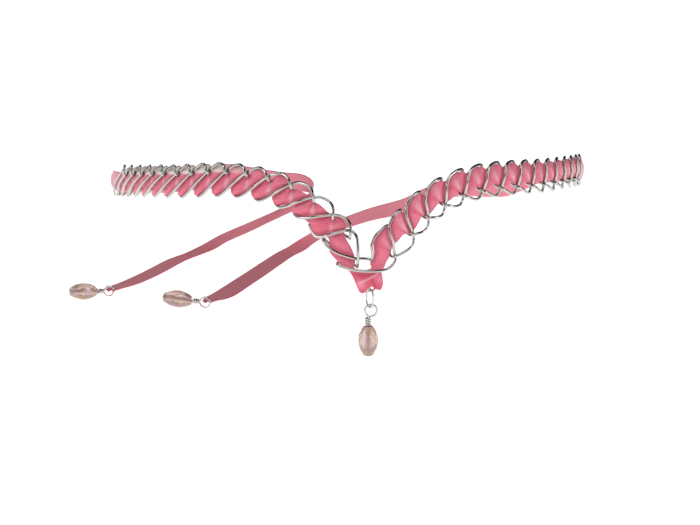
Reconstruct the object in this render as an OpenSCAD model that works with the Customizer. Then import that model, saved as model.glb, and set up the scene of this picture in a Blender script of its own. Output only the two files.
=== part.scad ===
// Ribbon crown: looped silver wire with a satin ribbon threaded through it, a beaded drop at the
// front and two loose ribbon ends with beads. Origin: centre of the ring at the band's level.
// +X is the wearer's left side seen from the front, -Y is the front, +Z is up.

/* [Ring] */
// Half width of the ring at the ribbon
ring_half_w = 76.4; // [65:0.1:90]
// Half depth of the ring at the ribbon
ring_half_d = 95; // [80:0.5:110]
// How far the front of the band lies above the sides
front_rise = 9.5; // [0:0.5:15]
// How far the right side lies above the middle
side_rise = 1.0; // [0:0.1:3]

/* [Coil] */
// Diameter of the coil's wire
wire_d = 0.84; // [0.6:0.02:1.2]
// Distance along the band from loop to loop
loop_pitch = 6.6; // [5:0.05:9]
// Height of the loops, wire centre to wire centre
loop_high = 9; // [7:0.1:12]
// Loops on the left half
left_loops = 15; // [10:1:22]
// Loops on the right half
right_loops = 14; // [10:1:22]

/* [Ribbon] */
// Thickness of the ribbon
ribbon_t = 1; // [1:0.1:1.6]
// Width of the loose ends
tail_w = 7.3; // [5:0.1:10]
// How far the ribbon puffs out between two legs of wire
puff = 0.5; // [0:0.05:0.8]

/* [Drop] */
// Diameter of the wire of the rings, links and bead pins
fine_d = 0.6; // [0.4:0.05:0.9]
// Length of the front bead
drop_long = 8.1; // [6:0.1:10]
// Thickness of the front bead
drop_wide = 5.7; // [4:0.1:8]
// Length of the beads at the loose ends
tail_bead_long = 9.2; // [6:0.1:11]
// Thickness of the beads at the loose ends
tail_bead_wide = 5.6; // [4:0.1:8]

/* [Hidden] */
silver = [0.80, 0.81, 0.80];
satin = [0.85, 0.38, 0.50];
dull_satin = [0.76, 0.42, 0.50];
crystal = [0.72, 0.60, 0.60];
wire_r = wire_d / 2;
fine_r = fine_d / 2;
ribbon_out = -0.1;       // middle of the ribbon's thickness, from the ring's own surface
gap = 0.15;

// The band's dip at the front. Columns: distance along the ring from the front, drop
dip_rows = [[-200, 0], [-60, 0], [-48, 0.4], [-40, 0.4], [-32, -0.6], [-26.5, -1.9], [-21, -4],
    [-16, -7.2], [-11.3, -11.8], [-7.5, -16], [0, -23.5], [7.5, -16.4], [11.3, -12], [16, -7.7],
    [21, -4.8], [26.5, -2.7], [32, -1.6], [40, -0.9], [60, -0.6], [80, 0], [100, 0.3], [120, -0.5],
    [145, -2.2], [175, -4.2], [200, -6]];
// How far the top of a loop leans along the band. Columns: distance along the band, lean
lean_rows = [[-170, 10], [-100, 9.5], [-65, 6.5], [-42, 2.5], [-25, 0.5], [28, 0], [60, -4],
    [90, -6.5], [170, -7]];
// One loop of the left half. Columns: pitches along, height from 0 to 1, out from the ring
left_loop = [[0, 0, 0.3], [0.33, 0.13, 1], [0.67, 0.42, 1.35], [0.98, 0.72, 0.66],
    [1.26, 0.92, 0.3], [1.6, 1.02, 0.9], [1.88, 0.97, 1.45], [2.03, 0.87, 1.75], [2.12, 0.79, 1.75],
    [2.19, 0.735, 1.5], [2.25, 0.69, 0.65], [2.22, 0.665, -0.45], [1.93, 0.58, -1.35],
    [1, 0.2, -1.25], [0.7, 0.05, -0.95]];
// One loop of the right half, same columns
right_loop = [[-0.25, 0.39, -1.3], [-0.44, 0.31, -0.55], [-0.46, 0.27, 0.5], [-0.37, 0.235, 1.3],
    [-0.22, 0.17, 1.6], [0.05, 0.04, 1.4], [0.36, -0.01, 0.7], [0.62, 0.1, 0.2], [0.76, 0.27, 0.6],
    [0.92, 0.56, 1.3], [1.08, 0.8, 1.1], [1.35, 0.98, 0.6], [1.8, 1.04, 0], [2.05, 0.92, -1.15],
    [1.3, 0.62, -1.4]];
// The wire where the two halves meet. Columns: distance along the ring, height, out from the ring
front_wire = [[-15.1, -5.7, 0.2], [-13, -6.2, 0.9], [-10.6, -5.4, 1.35], [-6.6, -4.4, 0.7],
    [-5, -4.5, 0.3], [-3.8, -5.4, 0.8], [-3.2, -7.1, 1.4], [-3.1, -10.1, 1.8], [-3.1, -12.9, 1.5],
    [-3.2, -14.4, 0.2], [-3.6, -14.4, -0.9], [-5.5, -13.5, -1.4], [-11.1, -8.4, -1.25], [-12.6, -6.9, -0.5],
    [-12.1, -8, 0.5], [-10.5, -9.3, 1.1], [-8.4, -10.5, 1.3], [-5.9, -11.4, 1.25],
    [-4.4, -11.9, 0.95], [-3.3, -12.1, 0.5], [-0.6, -12.3, -0.1], [0.6, -12.4, 0.5], [0.8, -10.7, 1.2],
    [0.5, -8.6, 1.35], [1.1, -6.5, 1.1], [2.6, -4.7, 0.7], [4.6, -3.3, 0], [6.1, -3.6, -1],
    [5, -6.8, -1.4], [3.3, -12.4, -1.5], [1.2, -15.3, -1.9], [-1, -16.1, -2.2], [-4.7, -15.7, -2.3],
    [-8, -13.6, -1.2], [-8.7, -13.8, 0.4], [-6.6, -14.5, 1.3], [-3.1, -15.2, 1.75],
    [0.6, -15.4, 1.85], [4.3, -15.1, 1.5], [6.3, -13.9, 0.9], [7.2, -12.4, 0.4], [6.8, -10.4, 0.5]];
// How high the ribbon's top edge rises into the loops of the left half. Columns: loop, rise
lobe_rows = [[6, 0.13], [11, 0.24], [30, 0.24]];
// The ribbon's left arm at the front. Columns: left edge's distance along and height, right
// edge's distance along and height, how far the middle puffs out
left_arm = [[-15.2, -4.2, -9.6, -2.4, 0.4], [-11.5, -6, -7.8, -4.8, 0], [-10.8, -7.9, -6.1, -7.7, 0.4],
    [-10.6, -10, -4.9, -9.8, 0], [-9.3, -11.9, -4.7, -12, 0], [-7.4, -13.3, -4.4, -13.9, 0],
    [-5.9, -15.3, -4, -15.7, 0.1], [-5.1, -16.2, 0.2, -16.3, 0.2], [-4.3, -17.5, 1.9, -17.3, 0.2],
    [-3.5, -19.5, 1.9, -19.8, 0.1], [-2.5, -21, 0.5, -20.8, 0], [-1.5, -21.5, -0.4, -21.3, 0]];
// The ribbon's right arm, same columns
right_arm = [[1.9, -20.7, 3.1, -20.8, -0.2], [-0.3, -19.2, 3.8, -19, -0.2],
    [-2.2, -17.3, 3.6, -16.9, -0.2], [-2.2, -16.1, 3.7, -15.6, -0.2], [0.9, -14.9, 4.1, -14.6, -0.1],
    [1.5, -13.6, 4.8, -13.2, 0], [1.8, -12.3, 5, -11.9, 0], [1.7, -10.5, 5.3, -10.3, 0.3],
    [1.7, -8.5, 6.1, -9.1, 0.4], [2.6, -6, 7.9, -7.4, 0.2], [4.6, -4.3, 9.2, -5.8, 0.3]];
// Loose ends. Columns: x, y, z of the ribbon's middle, bearing and lift of its width, width share
left_tail_rows = [[-67, 46, -8, 90, 62, 1], [-56, 62.5, -9.9, 90, 35, 1],
    [-46, 73, -10, 90, 45, 1], [-40, 77.5, -8.4, 90, 80, 1], [-31.8, 83, -10.2, 90, 78, 1],
    [-20, 87, -12.6, 90, 72, 1], [-12, 87.8, -13.4, 90, 60, 1], [-8, 87.8, -15.6, 90, 42, 1],
    [-7.6, 88.2, -18.6, 90, 26, 1],
    [-11.2, 88.8, -21.4, 90, 20, 1], [-23.2, 92, -27.5, 92, 18, 1], [-32.8, 92.5, -31.9, 98, 18, 1],
    [-42.3, 90, -35.6, 110, 14, 1], [-48.6, 84.5, -38.3, 130, 7, 1], [-54, 75, -39.2, 146, 0, 1],
    [-60, 60.5, -39.2, 158, 0, 1], [-67.2, 35.4, -39.2, 161, 0, 1], [-72.8, 18, -39.1, 161, 0, 1],
    [-75.6, 8.4, -38.6, 161, 0, 0.85], [-77.5, 0.5, -38.1, 150, 0, 0.55],
    [-78.4, -4.6, -37.85, 150, 0, 0.4]];
right_tail_rows = [[66.6, 48.5, -9.8, 90, 84, 0.9], [62.1, 58, -12.2, 90, 78, 1],
    [49, 72, -13.8, 90, 66, 1], [38, 78, -17.2, 90, 50, 1], [28.4, 82, -22.3, 90, 44, 1],
    [14.5, 86, -26.4, 90, 34, 1], [-0.3, 89, -32.1, 92, 26, 1], [-8.6, 87.4, -36.2, 110, 16, 1],
    [-14, 80.5, -38.5, 135, 8, 1],
    [-19.6, 67, -38.95, 155, 4, 1], [-28.7, 34.6, -38.95, 160, 5, 1], [-37, 5.8, -38.95, 160, 5, 1],
    [-41, -8, -38.9, 160, 4, 1], [-43.6, -17, -38.4, 155, 3, 0.75], [-45, -22.4, -38, 150, 0, 0.5],
    [-45.9, -26, -37.85, 150, 0, 0.4]];
// Where the wired beads of the loose ends hang on. Columns: x, y, z, bearing and lift of the bead
left_hook = [-79.1, -4.6, -37.85, 209, 5.5];
right_hook = [-46.8, -25.6, -37.85, 167, 5.5];

// Middle of the front ring, and the turn of its plane about the upright
front_x = 0.48;
front_y = -94.6;
front_z = -19.8;
front_turn = 27;
ring_r = 1.6;
link_r = 1.7;
link_long = 2.55;        // half length of the link, wire centre to wire centre
loop_r = 1.65;
hook_gap = 0.1;          // between two linked wires
link_side = 0.33;        // the link hangs this far to the left of the ring's lowest point
loop_side = 0.35;        // the drop's loop stands this far to the right of the link
drop_side = 0.75;        // and the bead this far to the left of the loop's middle
link_pivot = -sqrt(pow(ring_r, 2) - pow(link_side, 2));
link_z = link_pivot + fine_d + hook_gap - link_long;
loop_z = link_z - link_long + fine_d + hook_gap - sqrt(pow(loop_r, 2) - pow(loop_side, 2));

function unit(v) = v / norm(v);
function row_at(rows, x, i = 0) = i >= len(rows) - 2 || x < rows[i + 1][0] ? i : row_at(rows, x, i + 1);
function slope(rows, i) = let (a = rows[max(i - 1, 0)], b = rows[min(i + 1, len(rows) - 1)])
    (b[1] - a[1]) / (b[0] - a[0]);
// Smooth value from a two-column table
function smooth(rows, x) = let (i = row_at(rows, x), h = rows[i + 1][0] - rows[i][0],
    t = (x - rows[i][0]) / h, q = t * t * (3 - 2 * t))
    (1 - q) * rows[i][1] + q * rows[i + 1][1]
    + h * (slope(rows, i) * t * pow(1 - t, 2) - slope(rows, i + 1) * t * t * (1 - t));

// The ring: turn from the front against distance along it
turn_step = 2;
function pace(t) = norm([ring_half_w * cos(t), ring_half_d * sin(t)]) * PI / 180;
along_ring = [for (i = 0, d = 0; i <= 90; d = d + pace((i + 0.5) * turn_step) * turn_step, i = i + 1)
    [d, i * turn_step]];
function ring_turn(d) = sign(d) * lookup(abs(d), along_ring);
// A point of the band: distance along the ring, height, out from the ring
function spot(p) = let (t = ring_turn(p[0]), n = unit([sin(t) / ring_half_w, -cos(t) / ring_half_d]))
    [ring_half_w * sin(t) + p[2] * n[0], -ring_half_d * cos(t) + p[2] * n[1], p[1]];
function level(d) = let (t = ring_turn(d)) front_rise * cos(t) + side_rise * sin(t) + smooth(dip_rows, d);

// The band unrolled: distance along the dipping band against distance along the ring
function unrolled(dir) = [for (i = 0, u = 0; i <= 175;
    u = u + norm([1, level(dir * (i + 1)) - level(dir * i)]), i = i + 1) [u, i]];
left_unrolled = unrolled(-1);
right_unrolled = unrolled(1);
// A point of the unrolled band: distance along it, distance across it, out
function strip(u, w, out) = let (d = u < 0 ? -lookup(-u, left_unrolled) : lookup(u, right_unrolled),
    rise = level(d + 1) - level(d - 1), l = norm([2, rise]))
    [d - w * rise / l, level(d) + 2 * w / l, out];
function on_left(along, up, out) = let (u = -4.4 + loop_pitch * along)
    strip(u + smooth(lean_rows, u) * (up - 0.5), (up - 0.5) * loop_high, out);
function on_right(along, up, out) = let (u = -3.3 + loop_pitch * along)
    strip(u + smooth(lean_rows, u) * (up - 0.5), (up - 0.5) * loop_high * 0.98, out);

coil_rows = concat(
    [for (n = [-left_loops - 2 : -3], r = left_loop) on_left(n + r[0], r[1], r[2])],
    front_wire,
    [for (i = [9 : len(right_loop) - 1]) let (r = right_loop[i]) on_right(1 + r[0], r[1], r[2])],
    [for (n = [2 : right_loops + 1], r = right_loop)
        on_right(n + r[0] - (n == 2 && r[0] < -0.2 ? 0.16 : 0), r[1], r[2])]);

// A smooth curve through the rows, a point every part of a row
function through(p, part) = [for (x = [0 : part : len(p) - 1.001]) let (i = floor(x), t = x - i,
    a = p[max(i - 1, 0)], b = p[i], c = p[i + 1], d = p[min(i + 2, len(p) - 1)])
    0.5 * (2 * b + (c - a) * t + (2 * a - 5 * b + 4 * c - d) * t * t + (3 * b - a - 3 * c + d) * pow(t, 3))];
function heading(p, i) = unit(p[min(i + 1, len(p) - 1)] - p[max(i - 1, 0)]);
function square_to(v, t) = unit(v - (v * t) * t);

// Solid between closed sections of equal length
module skin(sections) {
    m = len(sections[0]);
    n = len(sections);
    polyhedron([for (s = sections, p = s) p],
        concat([[for (j = [0 : m - 1]) j]], [[for (j = [m - 1 : -1 : 0]) (n - 1) * m + j]],
            [for (i = [0 : n - 2], j = [0 : m - 1], k = [0, 1]) let (a = i * m + j,
                b = i * m + (j + 1) % m) k == 0 ? [a, a + m, b + m] : [a, b + m, b]]),
        convexity = 10);
}

// Round wire along points
module wire(p, r, sides = 5) {
    side = [for (i = 0, v = square_to([0.1, 0.2, 1], heading(p, 0)); i < len(p);
        i = i + 1, v = i < len(p) ? square_to(v, heading(p, i)) : v) v];
    skin([for (i = [0 : len(p) - 1]) let (t = heading(p, i), v = side[i], w = cross(t, v))
        [for (j = [0 : sides - 1]) p[i] + r * (cos(360 * j / sides) * v + sin(360 * j / sides) * w)]]);
}

// The woven ribbon along rows of three band points: lower edge, middle and upper edge
module woven_strip(rows) {
    t = ribbon_t / 2;
    skin([for (r = rows) concat([for (p = r) spot(p - [0, 0, t])],
        [for (i = [2 : -1 : 0]) spot(r[i] + [0, 0, t])])]);
}
function puffed(phase) = puff * pow(sin(180 * phase), 2);
// The ribbon's ends, where the loose ends begin. Columns: along the band, middle, half width
left_end = [-171, -1.1, 2.7];
right_end = [173, 1.1, 2.7];
// Rows of the bare ribbon from its end to where the loops start
function bare_rows(e, from, way = 1) = [for (i = way > 0 ? [0 : 6] : [6 : -1 : 0]) let (k = i / 7)
    [for (w = [-1, 0, 1]) strip(e[0] + (from - e[0]) * k, e[1] * (1 - k) + w * (e[2] + 0.6 * k),
        ribbon_out + (w == 0 ? 1.2 * sin(150 * k) : 0))]];
function end_spot(e, apart) = spot(strip(e[0] + sign(e[0]) * apart, e[1], ribbon_out));
left_rule = [for (a = [-left_loops - 1.75 : 0.25 : -2.75]) [
    on_left(a, 0.11, ribbon_out), on_left(a + 0.42, 0.38, ribbon_out + puffed(a)),
    on_left(a + 0.85, 0.58 + lookup(-a, lobe_rows) * pow(sin(180 * (a - 0.26)), 4), ribbon_out)]];
right_rule = [for (a = [2.5 : 0.25 : right_loops + 2.75]) [
    on_right(a, 0.4 - 0.06 * pow(sin(180 * (a - 0.68)), 2), ribbon_out),
    on_right(a + 0.17, 0.63, ribbon_out + puffed(a - 0.76)),
    on_right(a + 0.35, 0.85 + 0.06 * pow(sin(180 * (a - 0.75)), 2), ribbon_out)]];
function arm(rows, low = 0, high = 2) = [for (r = rows) [[r[low], r[low + 1], ribbon_out + min(r[4], 0)],
    [(r[0] + r[2]) / 2, (r[1] + r[3]) / 2, ribbon_out + r[4]],
    [r[high], r[high + 1], ribbon_out + min(r[4], 0)]]];

module ring(r, wire_radius, sides = 6, around = 14)
    rotate([90, 0, 0]) rotate_extrude($fn = around) translate([r, 0]) circle(wire_radius, $fn = sides);
module at_front_ring() translate([front_x, front_y, front_z]) rotate([0, 0, front_turn]) children();

module coil_wire() color(silver) wire([for (p = through(coil_rows, 0.8)) spot(p)], wire_r);

module woven_ribbon() color(satin) difference() {
    union() {
        woven_strip(concat(bare_rows(left_end, -124), left_rule, arm(left_arm)));
        woven_strip(concat(arm(right_arm, 2, 0), right_rule, bare_rows(right_end, 114, -1)));
    }
    at_front_ring() {
        ring(ring_r, fine_r + gap);
        // room for the link where it passes through the ring
        translate([0, 0, -ring_r]) rotate([0, 90, 0]) cylinder(h = 1.4, r = ring_r, center = true, $fn = 12);
    }
}

// A loose end, with a channel for the ring of its wired bead
module tail(end, rows, hook) color(dull_satin) difference() {
    p = through(concat([for (d = [gap, 3]) concat(end_spot(end, d), [90, 88, end[2] * 2 / tail_w])], rows), 0.5);
    skin([for (i = [0 : len(p) - 1]) let (t = heading([for (q = p) [q[0], q[1], q[2]]], i),
        v = square_to([cos(p[i][3]) * cos(p[i][4]), sin(p[i][3]) * cos(p[i][4]), sin(p[i][4])], t),
        n = cross(t, v), c = [p[i][0], p[i][1], p[i][2]], w = tail_w * p[i][5] / 2, h = ribbon_t / 2)
        [c + w * v + h * n, c - w * v + h * n, c - w * v - h * n, c + w * v - h * n]]);
    at_hook(hook) ring(loop_r, fine_r + gap);
}
module left_tail() tail(left_end, left_tail_rows, left_hook);
module right_tail() tail(right_end, right_tail_rows, right_hook);

module front_ring() color(silver) at_front_ring() ring(ring_r, fine_r);

module front_link() color(silver) at_front_ring() translate([-link_side, 0, link_z]) rotate([0, 0, 90]) {
    straight = link_long - link_r;
    for (end = [0, 180]) rotate([0, end, 0]) translate([0, 0, straight]) rotate([90, 0, 0])
        rotate_extrude(angle = 180, $fn = 14) translate([link_r, 0]) circle(fine_r, $fn = 6);
    for (x = [-link_r, link_r]) translate([x, 0, 0])
        cylinder(h = 2 * straight + 0.02, r = fine_r, center = true, $fn = 6);
}

// Closed loop at the origin, wrapped neck and pin running down beside its middle, foot below the bead
module bead_wire(neck, pin, side = 0) {
    ring(loop_r, fine_r);
    top = sqrt(pow(loop_r, 2) - pow(side, 2));
    translate([-side, 0, 0]) {
        translate([0, 0, -pin]) cylinder(h = pin - top, r = fine_r, $fn = 6);
        for (i = [0 : 2]) translate([0, 0, -loop_r - 0.45 - i * (neck - 0.6) / 2]) rotate([6, 0, 0])
            rotate_extrude($fn = 12) translate([0.62, 0]) circle(0.36, $fn = 6);
        translate([0, 0, -pin - 0.3]) cylinder(h = 0.35, r = 0.6, $fn = 10);
    }
}
// Oval bead from z = 0 down, faceted all round and drilled
module bead(long, wide, sides = 10) rotate_extrude($fn = sides) polygon([[0.45, 0], [wide * 0.24, 0],
    [wide * 0.42, -long * 0.22], [wide * 0.5, -long * 0.5], [wide * 0.44, -long * 0.76],
    [wide * 0.26, -long], [0.45, -long]]);

drop_neck = 2.4;
drop_top = 4.4;          // from the loop's middle down to the bead
module at_drop() at_front_ring() translate([-link_side, 0, loop_z]) rotate([0, 0, -front_turn])
    translate([loop_side, 0, 0]) children();
module drop_wire() color(silver) at_drop() bead_wire(drop_neck, drop_top + drop_long + 0.1, drop_side);
module drop_bead() color(crystal) at_drop() translate([-drop_side, 0, -drop_top])
    bead(drop_long, drop_wide);

module at_hook(hook) translate([hook[0], hook[1], hook[2]]) rotate([0, 0, hook[3] - 180])
    rotate([0, 90 + hook[4], 0]) children();
module tail_wire(hook) color(silver) at_hook(hook) bead_wire(2.2, 4.4 + tail_bead_long + 0.1);
module tail_bead(hook) color(crystal) at_hook(hook) translate([0, 0, -4.4]) bead(tail_bead_long, tail_bead_wide);
module left_tail_wire() tail_wire(left_hook);
module left_tail_bead() tail_bead(left_hook);
module right_tail_wire() tail_wire(right_hook);
module right_tail_bead() tail_bead(right_hook);

coil_wire();
woven_ribbon();
left_tail();
right_tail();
front_ring();
front_link();
drop_wire();
drop_bead();
left_tail_wire();
left_tail_bead();
right_tail_wire();
right_tail_bead();
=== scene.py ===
"""Looks for the ribbon crown: looped silver wire, woven satin ribbon, wired crystal beads, studio."""

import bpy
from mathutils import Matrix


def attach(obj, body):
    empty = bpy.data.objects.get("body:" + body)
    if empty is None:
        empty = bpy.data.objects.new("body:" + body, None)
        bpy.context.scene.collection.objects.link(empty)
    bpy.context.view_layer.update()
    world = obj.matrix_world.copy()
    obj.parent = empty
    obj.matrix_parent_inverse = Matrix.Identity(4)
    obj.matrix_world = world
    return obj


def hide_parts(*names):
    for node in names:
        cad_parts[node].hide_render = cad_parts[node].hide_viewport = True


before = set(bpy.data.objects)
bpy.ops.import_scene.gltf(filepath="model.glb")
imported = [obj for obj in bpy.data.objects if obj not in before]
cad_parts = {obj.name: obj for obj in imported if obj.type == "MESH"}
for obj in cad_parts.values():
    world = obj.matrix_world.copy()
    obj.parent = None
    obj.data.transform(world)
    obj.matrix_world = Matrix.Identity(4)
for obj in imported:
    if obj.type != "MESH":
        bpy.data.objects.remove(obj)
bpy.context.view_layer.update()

import math

import bmesh
import bpy
from mathutils import Matrix, Vector, kdtree, noise

MM = .001

# Sizes in mm, as in part.scad
RING_HALF_W, RING_HALF_D = 76.4, 95
FRONT_RISE, SIDE_RISE = 9.5, 1.0
WIRE_R = .42
LOOP_PITCH, LOOP_HIGH = 6.6, 9
LEFT_LOOPS, RIGHT_LOOPS = 15, 14
RIBBON_OUT = -.1
TAIL_W = 7.3
FINE_R = .3
DROP_LONG, DROP_WIDE = 8.1, 5.7
TAIL_BEAD_LONG, TAIL_BEAD_WIDE = 9.2, 5.6
# Where each half's pitches are counted from along the band, and the right loops' share of the height
LEFT_START, RIGHT_START, RIGHT_SHARE = -4.4, -3.3, .98
# Degrees from row to row of the ring's table
TURN_STEP = 2

# The cloth of the band and of the loose ends, thinner here than in part.scad
CLOTH_T, TAIL_T = .24, .14
# The floor lies at the lowest point of the crown
FLOOR_Z = -39.8

# The band's dip at the front: distance along the ring from the front, drop
DIP = [(-200, 0), (-60, 0), (-48, .4), (-40, .4), (-32, -.6), (-26.5, -1.9), (-21, -4), (-16, -7.2),
       (-11.3, -11.8), (-7.5, -16), (0, -23.5), (7.5, -16.4), (11.3, -12), (16, -7.7), (21, -4.8),
       (26.5, -2.7), (32, -1.6), (40, -.9), (60, -.6), (80, 0), (100, .3), (120, -.5), (145, -2.2),
       (175, -4.2), (200, -6)]
# How far the top of a loop leans along the band: distance along the band, lean
LEAN = [(-170, 10), (-100, 9.5), (-65, 6.5), (-42, 2.5), (-25, .5), (28, 0), (60, -4), (90, -6.5),
        (170, -7)]
# One loop of each half: pitches along, height from 0 to 1, out from the ring
LEFT_LOOP = [(0, 0, .3), (.33, .13, 1), (.67, .42, 1.35), (.98, .72, .66), (1.26, .92, .3),
             (1.6, 1.02, .9), (1.88, .97, 1.45), (2.03, .87, 1.75), (2.12, .79, 1.75),
             (2.19, .735, 1.5), (2.25, .69, .65), (2.22, .665, -.45), (1.93, .58, -1.35),
             (1, .2, -1.25), (.7, .05, -.95)]
RIGHT_LOOP = [(-.25, .39, -1.3), (-.4, .33, -1.05), (-.43, .275, -.2), (-.385, .225, .9),
              (-.24, .17, 1.55), (.05, .04, 1.4), (.36, -.01, .7), (.62, .1, .2), (.76, .27, .6),
              (.92, .56, 1.3), (1.08, .8, 1.1), (1.35, .98, .6), (1.8, 1.04, 0),
              (2.05, .92, -1.15), (1.3, .62, -1.4)]
# The wire where the two halves meet: distance along the ring, height, out from the ring
FRONT_WIRE = [(-15.1, -5.7, .2), (-13, -6.2, .9), (-10.6, -5.4, 1.35), (-6.6, -4.4, .7),
              (-5, -4.5, .3), (-3.8, -5.4, .8), (-3.2, -7.1, 1.4), (-3.1, -10.1, 1.8),
              (-3.1, -12.9, 1.5), (-3.2, -14.4, .2), (-3.6, -14.4, -.9), (-5.5, -13.5, -1.4),
              (-11.1, -8.4, -1.25), (-12.6, -6.9, -.5), (-12.1, -8, .5), (-10.5, -9.3, 1.1),
              (-8.4, -10.5, 1.3), (-5.9, -11.4, 1.25), (-4.4, -11.9, .95), (-3.3, -12.1, .5),
              (-.6, -12.3, -.1), (.6, -12.4, .5), (.8, -10.7, 1.2), (.5, -8.6, 1.35),
              (1.1, -6.5, 1.1), (2.6, -4.7, .7), (4.6, -3.3, 0), (6.1, -3.6, -1), (5, -6.8, -1.4),
              (3.3, -12.4, -1.5), (1.2, -15.3, -1.9), (-1, -16.1, -2.2), (-4.7, -15.7, -2.3),
              (-8, -13.6, -1.2), (-8.7, -13.8, .4), (-6.6, -14.5, 1.3), (-3.1, -15.2, 1.75),
              (.6, -15.4, 1.85), (4.3, -15.1, 1.5), (6.3, -13.9, .9), (7.2, -12.4, .4), (6.8, -10.4, .5)]
# The row of RIGHT_LOOP where that wire joins the right half
FRONT_JOIN = 9
# The ribbon's arms at the front: left edge's distance along and height, right edge's, puff
LEFT_ARM = [(-16.1, -2.7, -10.1, 0, .2), (-15.6, -4.3, -7.6, -1.1, .45), (-14.4, -5.3, -6.5, -3.1, .4),
            (-12.5, -5.9, -6.8, -4.6, .1), (-11.1, -6.6, -6.6, -6, .2), (-10.8, -7.9, -5.8, -7.6, .4),
            (-10.9, -10, -4.7, -9.6, .3), (-9.7, -11.7, -3.95, -11.6, .1), (-8.3, -13.2, -3.85, -13.3, 0),
            (-6.2, -15, -3.95, -14.9, .1), (-5.3, -15.9, .1, -16.1, .2), (-4.4, -17.3, .8, -17.8, .35),
            (-3.6, -19.2, 1.35, -18.7, .4), (-2.9, -20.9, 1.5, -19.4, .3), (-2.4, -21.5, -.3, -20.3, .2),
            (-1.75, -21.75, -.9, -21.2, .1)]
RIGHT_ARM = [(1.5, -20.5, 3.1, -21, -.2), (.3, -19.2, 3.75, -19.4, -.2), (-.6, -17.5, 3.6, -17.1, -.2),
             (-.6, -16.3, 3.35, -15.8, -.2), (.6, -15, 4.1, -14.7, -.1), (.25, -13.7, 4.6, -13.2, 0),
             (.5, -12.4, 5.4, -11.9, 0), (1.4, -11, 5.7, -10.5, .3), (1.2, -8.8, 6.1, -9.1, .4),
             (1.5, -6.4, 7.9, -7.4, .2), (3.6, -4.3, 9.2, -5.8, .3)]
# Loose ends: x, y, z of the ribbon's middle, bearing and lift of its width, width share
LEFT_TAIL = [(-67, 46, -8, 90, 62, 1), (-56, 62.5, -9.9, 90, 35, 1), (-46, 73, -10, 90, 45, 1),
             (-40, 77.5, -8.4, 90, 80, 1), (-31.8, 83, -10.2, 90, 78, 1), (-20, 87, -12.6, 90, 72, 1),
             (-12, 87.8, -13.4, 90, 60, 1), (-8, 87.8, -15.6, 90, 42, 1), (-7.6, 88.2, -18.6, 90, 26, 1),
             (-11.2, 88.8, -21.4, 90, 20, 1), (-23.2, 92, -27.5, 92, 18, 1),
             (-32.8, 92.5, -31.9, 98, 18, 1), (-42.3, 90, -35.6, 110, 14, 1),
             (-48.6, 84.5, -38.3, 130, 7, 1), (-54, 75, -39.2, 146, 0, 1), (-60, 60.5, -39.2, 158, 0, 1),
             (-67.2, 35.4, -39.2, 161, 0, 1), (-72.8, 18, -39.1, 161, 0, 1),
             (-75.6, 8.4, -38.6, 161, 0, .95), (-77.5, .5, -38.1, 150, 0, .72),
             (-78.4, -4.6, -37.85, 150, 0, .5)]
RIGHT_TAIL = [(66.6, 48.5, -9.8, 90, 84, .9), (62.1, 58, -12.2, 90, 78, 1), (49, 72, -13.8, 90, 66, 1),
              (38, 78, -17.2, 90, 50, 1), (28.4, 82, -22.3, 90, 44, 1), (14.5, 86, -26.4, 90, 34, 1),
              (-.3, 89, -32.1, 92, 26, 1), (-8.6, 87.4, -36.2, 110, 16, 1), (-14, 80.5, -38.5, 135, 8, 1),
              (-19.6, 67, -38.95, 155, 4, 1), (-28.7, 34.6, -38.95, 160, 5, 1),
              (-37, 5.8, -38.95, 160, 5, 1), (-41, -8, -38.9, 160, 4, 1),
              (-43.6, -17, -38.4, 155, 3, .9), (-45, -22.4, -38, 150, 0, .7),
              (-45.9, -26, -37.85, 150, 0, .5)]
# Where the wired beads hang on the loose ends: x, y, z, bearing and lift of the bead
LEFT_HOOK = (-79.1, -4.6, -37.85, 209, 5.5)
RIGHT_HOOK = (-46.8, -25.6, -37.85, 167, 5.5)
# The ribbon's ends, where the loose ends begin: along the band, middle, half width
LEFT_END = (-171, -1.1, 2.7)
RIGHT_END = (173, 1.1, 2.7)
# Front ring, link and drop: place and turn, sizes, how far each hangs to the side, heights of the
# middles of link and loop
FRONT_RING = Vector((.48, -94.6, -19.8))
FRONT_TURN = 27
RING_R, LINK_R, LINK_LONG, LOOP_R = 1.6, 1.7, 2.55, 1.65
HOOK_GAP = .1
LINK_SIDE, LOOP_SIDE, DROP_SIDE = .33, .35, .75
LINK_PIVOT = -math.sqrt(RING_R ** 2 - LINK_SIDE ** 2)
LINK_Z = LINK_PIVOT + 2 * FINE_R + HOOK_GAP - LINK_LONG
LOOP_Z = LINK_Z - LINK_LONG + 2 * FINE_R + HOOK_GAP - math.sqrt(LOOP_R ** 2 - LOOP_SIDE ** 2)
# Length of the wrapped neck on the front drop and on the tail beads, and from loop to bead
DROP_NECK, TAIL_NECK = 2.4, 2.2
BEAD_TOP = 4.4


# Numbers, tables and smooth lines

def clamp(x):
    return min(max(x, 0), 1)


def sin_deg(a):
    return math.sin(math.radians(a))


def cos_deg(a):
    return math.cos(math.radians(a))


def smooth(rows, x):
    """Smooth value from a two-column table, as in part.scad."""
    i = 0
    while i < len(rows) - 2 and x >= rows[i + 1][0]:
        i += 1

    def slope(k):
        a, b = rows[max(k - 1, 0)], rows[min(k + 1, len(rows) - 1)]
        return (b[1] - a[1]) / (b[0] - a[0])

    h = rows[i + 1][0] - rows[i][0]
    t = (x - rows[i][0]) / h
    q = t * t * (3 - 2 * t)
    return ((1 - q) * rows[i][1] + q * rows[i + 1][1]
            + h * (slope(i) * t * (1 - t) ** 2 - slope(i + 1) * t * t * (1 - t)))


def lookup(x, table):
    """Value from a two-column table, in straight lines from row to row."""
    for (a, va), (b, vb) in zip(table, table[1:]):
        if x <= b:
            return va + (vb - va) * (x - a) / (b - a)
    return table[-1][1]


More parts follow.
